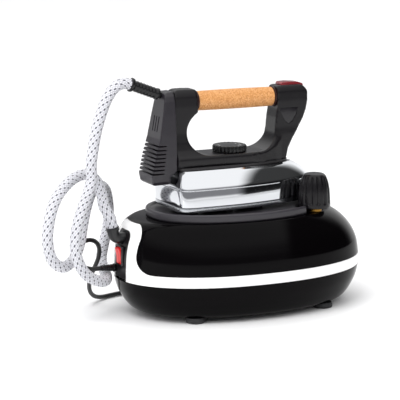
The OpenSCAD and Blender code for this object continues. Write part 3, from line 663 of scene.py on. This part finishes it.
def arch(half, top, r):
    """The rear frame's outline from behind: upright sides that flare into the white band."""
    flare = 26.0
    n = 24
    return ([(-half - flare, 71.0), (half + flare, 71.0)] + arc(half + flare, 72 + flare, flare, -90, -180, n)
            + arc(half - r, top - r, r, 0, 90, n) + arc(-half + r, top - r, r, 90, 180, n)
            + arc(-half - flare, 72 + flare, flare, 0, -90, n))


def window(grow):
    """The rear panel's outline from behind, grown outwards by an amount."""
    half, top, low, r = 21 + grow, 128 + grow, 44 - grow, 11 + grow
    return (arc(half - r, low + r, r, -90, 0, 12) + arc(half - r, top - r, r, 0, 90, 12)
            + arc(-half + r, top - r, r, 90, 180, 12) + arc(-half + r, low + r, r, 180, 270, 12))


def base_shell(name):
    rows = list(fine_rows(UPPER, 40))
    edge = [(140.2, 166.2, 141.2, 92.1), (140.8, 164.8, 139.8, 91.4), (141, 163.4, 138.4, 90.4)]
    rows = [r for r in rows if r[0] < 139.6] + edge
    outer = [base_ring(r) for r in rows]
    inner = [base_ring(r, WALL) for r in rows if r[0] < 136]
    return loft(name, [base_ring((138, 165, 140, 88), 3)] + inner[::-1] + outer)


CAP = (97.0, -53.0)
upper = base_shell("upper_shell")
carve(upper, prism("tool", arch(40, 138.5, 20), "x", -260, -100))
carve(upper, rod("tool", (*CAP, 100), (*CAP, 160), 9.3))
bevel(upper, 0.5, 2, 50)
dress(upper, "black_shell", "base", "upper_housing")

arch_frame = base_shell("arch_frame")
carve(arch_frame, prism("tool", arch(39.7, 138.2, 19.7), "x", -260, -100.5), "INTERSECT")
carve(arch_frame, prism("tool", window(0), "x", -260, -150))
bevel(arch_frame, 0.6, 2, 50)
dress(arch_frame, "white_trim", "base", "rear_frame")

lower_rows = [(z, 190 * k, 188.5 * k, 119 * k) for z, k in fine_rows(LOWER, 30)]
lower_rows = [(8, 158.5, 157, 98.9), (8.3, 160.4, 159, 100.6)] + lower_rows[2:]
outer = [base_ring(r) for r in lower_rows]
inner = [base_ring(r, WALL) for r in lower_rows if r[0] > 12]
lower = loft("lower_shell", [base_ring((11, 162, 160, 101), 4)] + inner + outer[::-1])
bevel(lower, 0.4, 2, 50)
dress(lower, "black_shell", "base", "lower_housing")

band_rows = [(56.15, 0.7), (56.3, 0.25), (57.0, 0.0), (71.0, 0.0), (71.7, 0.25), (71.85, 0.7)]
band_out = [base_ring((z, 190, 188.5, 119), d) for z, d in band_rows]
band_in = [base_ring((z, 190, 188.5, 119), WALL) for z, _ in (band_rows[-1], band_rows[0])]
band = loft("trim_ring", band_out + band_in, closed=True)
carve(band, block("tool", (-200, -21, 50), (-140, 21, 80)))
dress(band, "white_trim", "base", "trim_band")

out, inn = upper_skin(0.8, 2.5, 56.3, 131.0)
panel = loft("back_panel", out + inn[::-1], closed=True)
carve(panel, prism("tool", window(-0.3), "x", -260, -140), "INTERSECT")
carve(panel, block("tool", (-200, -12.3, 76.2), (-160, 12.3, 105.8)))
carve(panel, rod("tool", (-172, 0, 116), (-205, 0, 116), 9.3))
carve(panel, rod("tool", (-166, 14, 69), (-212, 15, 71), 5.5))
carve(panel, block("tool", (-260, -40, 40), (-140, 40, 56.4)))
bevel(panel, 0.3, 1, 50)
dress(panel, "dark_plastic", "base", "rear_panel")

TRAY_ROWS = [(141, 1.5), (142.3, 0.4), (143.6, 0), (149.6, 0), (151.4, 0.35), (152.5, 1.1), (153, 2.2),
             (153, 3.6), (152.5, 4.5), (151, 5.3), (149.3, 6.1), (148.4, 7.2), (148, 9)]
tray = loft("tray", [oval(z, 141 - d, 134 - d, 87 - d, 2.3, 1.9) for z, d in fine_rows(TRAY_ROWS, 40)])
carve(tray, rod("tool", (*CAP, 130), (*CAP, 170), 28.0, 96))
bevel(tray, 0.6, 2, 55)
dress(tray, "tray_plastic", "base", "iron_tray")

bezel = block("switch_bezel", (-190.5, -12, 76.5), (-186.5, 12, 105.5))
bevel(bezel, 1.4, 3, 50)
carve(bezel, block("tool", (-200, -8.8, 78.4), (-180, 8.8, 103.6)))
well = block("well", (-189.5, -10, 78), (-167.5, 10, 104))
carve(well, block("tool", (-200, -8.8, 78.4), (-170.5, 8.8, 103.6)))
bezel = join("switch_bezel", [bezel, well])
dress(bezel, "black_plastic", "base", "switch_frame")

rocker_shape = [(-8.2, 11.2), (-7.5, 6), (-7.1, 0), (-7.5, -6), (-8.2, -11.2)] + arc(0, 0, 11.6, -100, 100, 24)
rocker = prism("power_switch", rocker_shape, "y", -8.4, 8.4)
bevel(rocker, 0.9, 3, 50)
rocker.data.transform(Matrix.Translation((-0.1838, 0, 0.091)) @ Matrix.Rotation(math.radians(-7), 4, "Y"))
dress(rocker, "red_rocker", "power_rocker", "switch_rocker")

# Filler cap: a tapered knob with finger flutes and a soft crown.
CAP_FLUTES = 14
cap_profile = fine_rows([(12, 147.2), (22.6, 147.2), (23.8, 148.1), (24, 149.8), (23.7, 158), (23, 170),
                         (21.1, 182), (18.6, 190), (16.5, 193.9), (14.1, 196.1), (11.4, 197), (8, 197.2),
                         (0.4, 197.2)], 100)


def flutes(angle, r, z):
    wave = 0.5 + 0.5 * math.cos(CAP_FLUTES * angle)
    reach = max(0.0, min(1.0, (z - 153) / 3)) * max(0.0, min(1.0, (195.5 - z) / 4))
    return r - 1.8 * reach * wave ** 3 if r > 12 else r


cap = lathe("boiler_cap", cap_profile, (*CAP, 0), n=CAP_FLUTES * 20, ripple=flutes, sharp=60)
dress(cap, "charcoal_plastic", "cap_knob", "filler_cap")

neck_ring = lathe("brass_neck", [(5.9, 104), (9, 104), (9, 141), (11.2, 141), (11.5, 141.4), (11.5, 145.6),
                                 (11.2, 146), (5.9, 146)], (*CAP, 0), n=64)
dress(neck_ring, "brass", "base", "filler_neck")

FEET = [(sx * 103.0, sy * 72.0) for sx in (-1, 1) for sy in (-1, 1)]
foot_profile = [(4.5, 0), (12.3, 0), (13.1, 0.4), (13.9, 1.2), (14.5, 2.4), (14.5, 5), (13.9, 6.6), (13.3, 8),
                (2, 8), (2, 4), (4.5, 4), (4.5, 0.02)]
feet = join("feet", [lathe("foot", foot_profile, (x, y, 0), n=64) for x, y in FEET])
dress(feet, "rubber", "base", "rubber_feet")

# ------------------------------------------------------------------ iron


def iron_ring(z, inset):
    return oval(z, 66 - 0.4 * inset, 166 - 1.5 * inset, 56 - inset, 7, 1.9, -50.0)


sole_rows = [(154, 2.4), (154.3, 1.3), (155, 0.75), (156, 0.6), (160, 0.6), (160.7, 0.8), (161, 1.2),
             (161, 5), (164, 5)]
sole = loft("sole", [iron_ring(z, d) for z, d in sole_rows])
holes = [rod("hole", (90 - 18 * i, s * (6 + 4.2 * i), 150), (90 - 18 * i, s * (6 + 4.2 * i), 163), 1.5, 16)
         for i in range(7) for s in (-1, 1)]
holes += [rod("hole", (96 - 16 * i, 0, 150), (96 - 16 * i, 0, 163), 1.5, 16) for i in range(4)]
carve(sole, join("tool", holes))
dress(sole, "sole_aluminium", "iron", "soleplate")

SKIRT_BAND = [(161.3, 0.3), (161.8, 0), (184.2, 0), (184.9, 0.25), (185.3, 0.9)]
SKIRT_DOME = [(185.9, 0.9), (186.3, 0.5), (188.5, 1.1), (193, 3.9), (200, 9.6), (206, 15.9), (210, 21.5)]
dome_rows = list(fine_rows(SKIRT_DOME[1:], 34))
skirt_rows = SKIRT_BAND + SKIRT_DOME[:1] + dome_rows
skirt_in = [iron_ring(z - 1.2, d + 1.4) for z, d in skirt_rows if z > 163]
skirt = loft("chrome_shell", skirt_in[::-1] + [iron_ring(z, d) for z, d in skirt_rows], sharp=25)
carve(skirt, rod("tool", (-15, 0, 200), (-15, 0, 220), 9), sharp=25)
dress(skirt, "chrome_skin", "iron", "chrome_skirt")

shield = loft("shield", [iron_ring(z, d) for z, d in
                         [(210, 25.6), (210.3, 25), (213.6, 25), (214, 25.6)]])
carve(shield, rod("tool", (-15, 0, 200), (-15, 0, 220), 9))
dress(shield, "shield_plastic", "iron", "heat_shield")

DECK = 230.0
GRIP = (-72.0, 55.0)
GRIP_Z = 306.0
SEAM = -109.0
REAR_EDGE = (-45.0, 263.0, 45.0, 35.6)
rear_edge = [(REAR_EDGE[0] - REAR_EDGE[2] * math.cos(a), REAR_EDGE[1] + REAR_EDGE[3] * math.sin(a))
             for a in np.linspace(math.radians(53.13), 0, 24)]
handle_side = (
    [(SEAM, 214), (SEAM, 317)] + arc(SEAM + 8, 317, 8, 150, 96, 6) + [(-90, 325)]
    + arc(GRIP[0] - 5, 320, 4.4, 80, 0, 8) + rear_edge
    + arc(-57, DECK + 33, 33, 183, 270, 32) + arc(22, DECK + 29, 29, 270, 352, 32)
    + [(52.5, 276), (GRIP[1], 290.3), (GRIP[1], 320), (GRIP[1] + 2.5, 322.8)]
    + arc(91.5, 309.5, 13.5, 88, 0, 16) + [(104.5, 300), (102, 287), (97, 274), (89, 260), (79, 244),
                                            (72.5, 231), (69, 214)])
half_front = [(27, 214), (29, 218), (29.5, 225), (28.5, 228.6), (26, DECK + 0.5), (22, 238), (19, 248),
              (17.6, 262), (17.2, 300), (16, 314), (13.5, 321), (10, 325.5)]
handle_front = half_front + [(-y, z) for y, z in half_front[::-1]]
handle_plan = [(-130, 30), (0, 30), (30, 27), (50, 22.5), (62, 18.6), (110, 18.6), (110, -18.6), (62, -18.6),
               (50, -22.5), (30, -27), (0, -30), (-130, -30)]
handle = prism("handle_shell", handle_side, "y", -40, 40)
carve(handle, prism("tool", handle_front, "x", -130, 130), "INTERSECT")
carve(handle, prism("tool", handle_plan, "z", 200, 340), "INTERSECT")
soften(handle, 1.0, 28)
INSET = [(59, 290), (87, 290), (85, 280), (79, 271), (73, 266.5), (66, 272), (61, 281)]


def grown(outline, by):
    cx = sum(p[0] for p in outline) / len(outline)
    cz = sum(p[1] for p in outline) / len(outline)
    return [(x + by * (x - cx) / math.hypot(x - cx, z - cz), z + by * (z - cz) / math.hypot(x - cx, z - cz))
            for x, z in outline]


for side in (-1, 1):
    low, high = sorted((side * 16.2, side * 30))
    carve(handle, prism("tool", grown(INSET, 0.5), "y", low, high))
carve(handle, block("tool", (63.7, -9.8, 309), (100.8, 9.8, 340)))
carve(handle, rod("tool", (78, 0, 301), (78, 0, 312), 4.6))
carve(handle, rod("tool", (-84, 0, GRIP_Z), (61, 0, GRIP_Z), 4.1))
carve(handle, block("tool", (-100, -23, 210), (30, 23, 224)))
carve(handle, block("tool", (29, -17, 210), (60, 17, 224)))
carve(handle, rod("tool", (-15, 0, 220), (-15, 0, 240), 3.2))
dress(handle, "charcoal_plastic", "iron", "handle_body")

insets = []
for side in (-1, 1):
    low, high = sorted((side * 16.2, side * 17.0))
    badge = prism("badge", INSET, "y", low, high)
    bevel(badge, 0.35, 2, 50)
    insets.append(badge)
insets = join("badges", insets)
dress(insets, "inset_plastic", "iron", "column_insets")

RELIEF_ROOT = Vector((-124, 0, 317))
RELIEF_TIP = Vector((-171, 0, 335))
RELIEF_DIR = (RELIEF_TIP - RELIEF_ROOT).normalized()
cover_side = ([(SEAM - 0.3, 211), (SEAM - 0.3, 323.2)] + arc(-117, 314.5, 8, 78, 165, 12)
              + [(-127.5, 300), (-135, 257), (-142, 232), (-148, 204)] + arc(-142, 196, 5, 170, 260, 10)
              + [(-119, 191.5), (-119, 203)])
half_cover = [(21, 191), (24.5, 196), (26, 210), (26, 232), (24.5, 262), (22, 290), (19.5, 308), (16.5, 317),
              (11, 323.6)]
cover = prism("rear_shell", cover_side, "y", -40, 40)
carve(cover, prism("tool", half_cover + [(-y, z) for y, z in half_cover[::-1]], "x", -160, -100), "INTERSECT")
soften(cover, 0.8, 16)
ribs = []
for i in range(8):
    low = 207 + 5.6 * i
    ribs.append(prism("rib", [(-160, low - 0.5), (-129.6 + 0.6 * i, low + 0.2), (-129.6 + 0.6 * i, low + 2.0),
                              (-160, low + 2.7)], "y", -30, 30))
carve(cover, join("tool", ribs))
vents = [block("vent", (-160, y - 1.4, 266), (-125, y + 1.4, 288)) for y in (-8, 0, 8)]
carve(cover, join("tool", vents))
carve(cover, rod("tool", RELIEF_ROOT - 12 * RELIEF_DIR, RELIEF_ROOT + 4.6 * RELIEF_DIR, 5))
dress(cover, "cover_plastic", "iron", "rear_cover")

relief_len = (RELIEF_TIP - RELIEF_ROOT).length
relief_profile = [(2.4, -6), (4.9, -6), (4.9, 4.6), (8.3, 4.8), (8.6, 6.5), (8.2, 8.5)]
for i in range(6):
    z = 10.5 + 5.3 * i
    relief_profile += [(7.3, z), (7.3, z + 0.9), (7.9, z + 1.4), (8.1, z + 3.2), (7.8, z + 4.4)]
relief_profile += [(7.6, relief_len - 6.6), (8.8, relief_len - 5.2), (9.9, relief_len - 3.9),
                   (10.2, relief_len - 2.6), (10.0, relief_len - 0.8), (8.2, relief_len - 0.1),
                   (2.4, relief_len - 0.1)]
relief = lathe("hose_boot", relief_profile, RELIEF_ROOT, RELIEF_DIR, n=64)
dress(relief, "gland_rubber", "iron", "hose_strain_relief")

grip_len = GRIP[1] - GRIP[0] - 6
grip_profile = [(4.2, 0), (12.9, 0), (13.6, 0.3), (14.0, 1.1)]
grip_profile += [(14.0 + 0.5 * math.sin(math.pi * k / 24), 1.2 + (grip_len - 2.4) * k / 24) for k in range(25)]
grip_profile += [(14.0, grip_len - 1.1), (13.6, grip_len - 0.3), (12.9, grip_len), (4.2, grip_len)]
grip = lathe("cork_sleeve", grip_profile, (GRIP[0] + 3, 0, GRIP_Z), (1, 0, 0), n=128)
dress(grip, "cork", "iron", "cork_grip")
collar_profile = [(4.2, 0), (14.4, 0), (15.0, 0.4), (15.1, 1.0), (15.1, 2.0), (15.0, 2.6), (14.4, 3), (4.2, 3)]
for name, x, node in (("grip_ring_rear", GRIP[0], "rear_collar"),
                      ("grip_ring_front", GRIP[1] - 3, "front_collar")):
    ring = lathe(name, collar_profile, (x, 0, GRIP_Z), (1, 0, 0), n=96)
    dress(ring, "collar_plastic", "iron", node)

button_side = ([(64, 311.8), (64, 324.8)] + arc(67, 324.2, 2.6, 150, 80, 6) + [(77, 327.3), (91, 326.5)]
               + arc(96.5, 320.6, 4, 62, 0, 8) + [(100.5, 311.8)])
button = prism("steam_trigger", button_side, "y", -9.5, 9.5)
bevel(button, 1.3, 3, 50)
carve(button, rod("tool", (78, 0, 300), (78, 0, 322.8), 4.2))
dress(button, "button_plastic", "steam_button", "steam_button")

# Temperature dial: a knurled rim, a dished face and a raised ring of setting dots.
DIAL = (-15.0, 0.0)
DIAL_TEETH = 24


def knurl(angle, r, z):
    return r - 1.7 * (0.5 + 0.5 * math.cos(DIAL_TEETH * angle)) ** 2 if r > 22.2 and z > 231.8 else r


dial_profile = [(3, 230.6), (23.6, 230.6), (24.9, 231.2), (24.9, 231.9), (25, 232.4), (25, 237.4),
                (24.6, 238.5), (23.6, 239.3), (22.4, 239.6), (20.2, 239.6), (19.4, 239.2), (18.8, 238.8),
                (6, 238.5), (0.4, 238.5)]
dial = lathe("heat_dial", dial_profile, (*DIAL, 0), n=DIAL_TEETH * 16, ripple=knurl, sharp=50)
dress(dial, "dial_plastic", "dial", "temperature_dial")
marks = []
for k in range(9):
    a = math.radians(150 + 30 * k)
    size = 0.9 if k < 8 else 1.3
    x, y = DIAL[0] + 16 * math.cos(a), DIAL[1] + 16 * math.sin(a)
    dot = [(size, 238.3), (size, 238.75), (size * 0.7, 238.9), (0.05, 238.9)]
    marks.append(lathe("mark", dot, (x, y, 0), n=20))
marks = join("dial_dots", marks)
dress(marks, "white_trim", "dial")

# ------------------------------------------------------------------ glands, plug and tie

mains_exit = Vector((-189, 14.5, 70))
mains_tip = Vector((-212, 15, 71))
mains_dir = (mains_tip - mains_exit).normalized()
boot_profile = [(3.3, -6), (5.2, -6), (5.2, 2.0), (5.9, 2.1), (6.0, 4.0), (5.6, 4.4)]
for i in range(5):
    z = 5.2 + 3.2 * i
    r = 5.2 - 0.2 * i
    boot_profile += [(r - 0.9, z), (r - 0.9, z + 0.9), (r, z + 1.3), (r, z + 2.5)]
boot_profile += [(3.8, 21.6), (4.0, 22.9), (3.3, 23.0)]
boot = lathe("lead_boot", boot_profile, mains_exit, mains_dir, n=48)
dress(boot, "gland_rubber", "base", "mains_gland")

elbow = spline([(-174, 0, 116), (-184, 0, 116), (-191, 0, 116.6), (-196, 0, 119.5), (-198.4, 0, 125),
                (-199.3, 0, 131.8)], 1.0)
outlet = tube("hose_elbow", elbow, 8.2, 40)
nut = lathe("nut", [(8.0, 0), (9.3, 0.4), (9.5, 1.2), (9.5, 5.4), (9.2, 6.2), (8.1, 6.3)], (-198.3, 0, 126.9),
            (-3.5, 0, 17), n=48, ripple=lambda a, r, z: r - 0.35 * (0.5 + 0.5 * math.cos(16 * a)))
outlet = join("hose_elbow", [outlet, nut])
dress(outlet, "black_plastic", "base", "hose_gland")

PLUG = (40.0, 168.0, 18.0)
plug_profile = [(4.0, -16), (5.0, -16), (5.4, -15)]
for i in range(4):
    z = -14.2 + 3.0 * i
    r = 6.0 + 1.2 * i
    plug_profile += [(r - 1.0, z), (r - 1.0, z + 0.8), (r, z + 1.2), (r, z + 2.4)]
plug_profile += [(11.5, -1.6), (14.6, 0.4), (16.6, 3.0), (17.5, 6.5), (17.5, 27), (17.0, 29), (15.8, 30),
                 (0.3, 30)]


def plug_waist(angle, r, z):
    grip = math.exp(-((z - 13) / 6.5) ** 2)
    return r * (1 - 0.17 * grip * abs(math.sin(angle)) ** 6) if z > 1 else r


plug = lathe("plug_body", plug_profile, PLUG, (1, 0, 0), n=96, ripple=plug_waist)
dress(plug, "plug_rubber", "base", "mains_plug")

# The strap's four-sided section runs round the two stacked turns of the coil; its floor side is kept thin.
TIE = (-14.0, 7.1)
tie_rings = []
for k in range(48):
    a = 2 * math.pi * k / 48
    x, z = signed_power(math.cos(a), 0.8), signed_power(math.sin(a), 0.8)
    near = (TIE[0] + 9.95 * x, TIE[1] + 6.6 * z)
    far = (TIE[0] + 11.3 * x, TIE[1] + (8.0 if z > 0 else 7.0) * z)
    tie_rings.append([(near[0], 165, near[1]), (near[0], 175, near[1]),
                      (far[0], 175, far[1]), (far[0], 165, far[1])])
tie = loft("cord_strap", tie_rings, closed=True)
dress(tie, "tie_plastic", "base", "coil_tie")

# ------------------------------------------------------------------ cords: materials, bodies and hidden CAD parts

hose.data.materials.append(paints["hose_braid"].mat)
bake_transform(hose)
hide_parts("hose_upper", "hose_lower")
dress(lead, "lead_rubber", "base", "mains_lead", "mains_coil", "plug_tail")

# ------------------------------------------------------------------ carried-over CAD nodes

slots = {s["node"]: s["material_slot"] for s in frame["record"]["subparts"]}
for name, obj in frame["nodes"].items():
    if obj.hide_render:
        continue
    for s in obj.material_slots:
        s.material = paints[slots[name]].mat

# ------------------------------------------------------------------ floor and light

floor_mesh = bpy.data.meshes.new("floor")
R = 6.0
floor_mesh.from_pydata([(-R, -R, 0), (R, -R, 0), (R, R, 0), (-R, R, 0)], [], [(0, 1, 2, 3)])
floor = bpy.data.objects.new("floor", floor_mesh)
scene.collection.objects.link(floor)
ground = Paint("floor_paint", "#fbfbfb", 0.55)
ground.roughness(ground.noise(3.0), 0.5, 0.65)
ground.tint(ground.ramp(ground.noise(1.2, 2.0), [(0.0, "#f7f7f8"), (1.0, "#fdfdfd")]))
floor_mesh.materials.append(ground.mat)

world = bpy.data.worlds.new("studio")
scene.world = world
world.use_nodes = True
nodes, links = world.node_tree.nodes, world.node_tree.links
sky = nodes["Background"]
coords = nodes.new("ShaderNodeTexCoord")
split = nodes.new("ShaderNodeSeparateXYZ")
links.new(coords.outputs["Generated"], split.inputs["Vector"])


def sky_edge(axis, low, high):
    """A soft step of the sky along an axis: 0 below the low value, 1 above the high one."""
    n = nodes.new("ShaderNodeMapRange")
    n.interpolation_type = "SMOOTHSTEP"
    n.inputs["From Min"].default_value = low
    n.inputs["From Max"].default_value = high
    links.new(split.outputs[axis], n.inputs["Value"])
    return n.outputs["Result"]


def sky_math(operation, a, b):
    n = nodes.new("ShaderNodeMath")
    n.operation = operation
    n.use_clamp = True
    links.new(a, n.inputs[0])
    links.new(b, n.inputs[1])
    return n.outputs[0]


# The studio: bright overhead, a dim surround with one bright window behind on the right, a pale floor line
# below, and a dark flag on the right of the camera.
behind = sky_edge("Y", 0.05, 0.45)
window_sky = sky_math("MULTIPLY", sky_edge("X", 0.45, 0.75), behind)
overhead = sky_math("MAXIMUM", sky_edge("Z", 0.22, 0.62), window_sky)
overhead = sky_math("MAXIMUM", overhead, sky_edge("Z", 0.03, -0.03))
flag = sky_math("SUBTRACT", sky_edge("X", 0.51, 0.60), behind)
power = nodes.new("ShaderNodeMapRange")
power.inputs["To Min"].default_value = 1.4
power.inputs["To Max"].default_value = 0.06
links.new(flag, power.inputs["Value"])
links.new(power.outputs["Result"], sky.inputs["Strength"])
tone = nodes.new("ShaderNodeMix")
tone.data_type = "RGBA"
links.new(overhead, tone.inputs["Factor"])
tone.inputs[6].default_value = (0.22, 0.22, 0.23, 1)
tone.inputs[7].default_value = (1.0, 1.0, 1.0, 1)
links.new(tone.outputs[2], sky.inputs["Color"])


def softbox(name, place, target, size, power):
    """A wide lamp that lights the object but isn't mirrored in its chrome."""
    data = bpy.data.lights.new(name, "AREA")
    data.shape = "RECTANGLE"
    data.size, data.size_y = size
    data.energy = power
    obj = bpy.data.objects.new(name, data)
    obj.location = place
    obj.rotation_euler = (Vector(target) - Vector(place)).to_track_quat("-Z", "Y").to_euler()
    obj.visible_glossy = False
    scene.collection.objects.link(obj)
    return obj


softbox("key", (-1.2, -0.9, 2.4), (0, 0, 0.1), (1.6, 1.2), 30)
softbox("fill_left", (-2.6, -0.8, 0.9), (0, 0, 0.15), (0.9, 1.6), 14)
softbox("fill_right", (2.2, -1.6, 1.2), (0, 0, 0.15), (0.8, 1.4), 10)
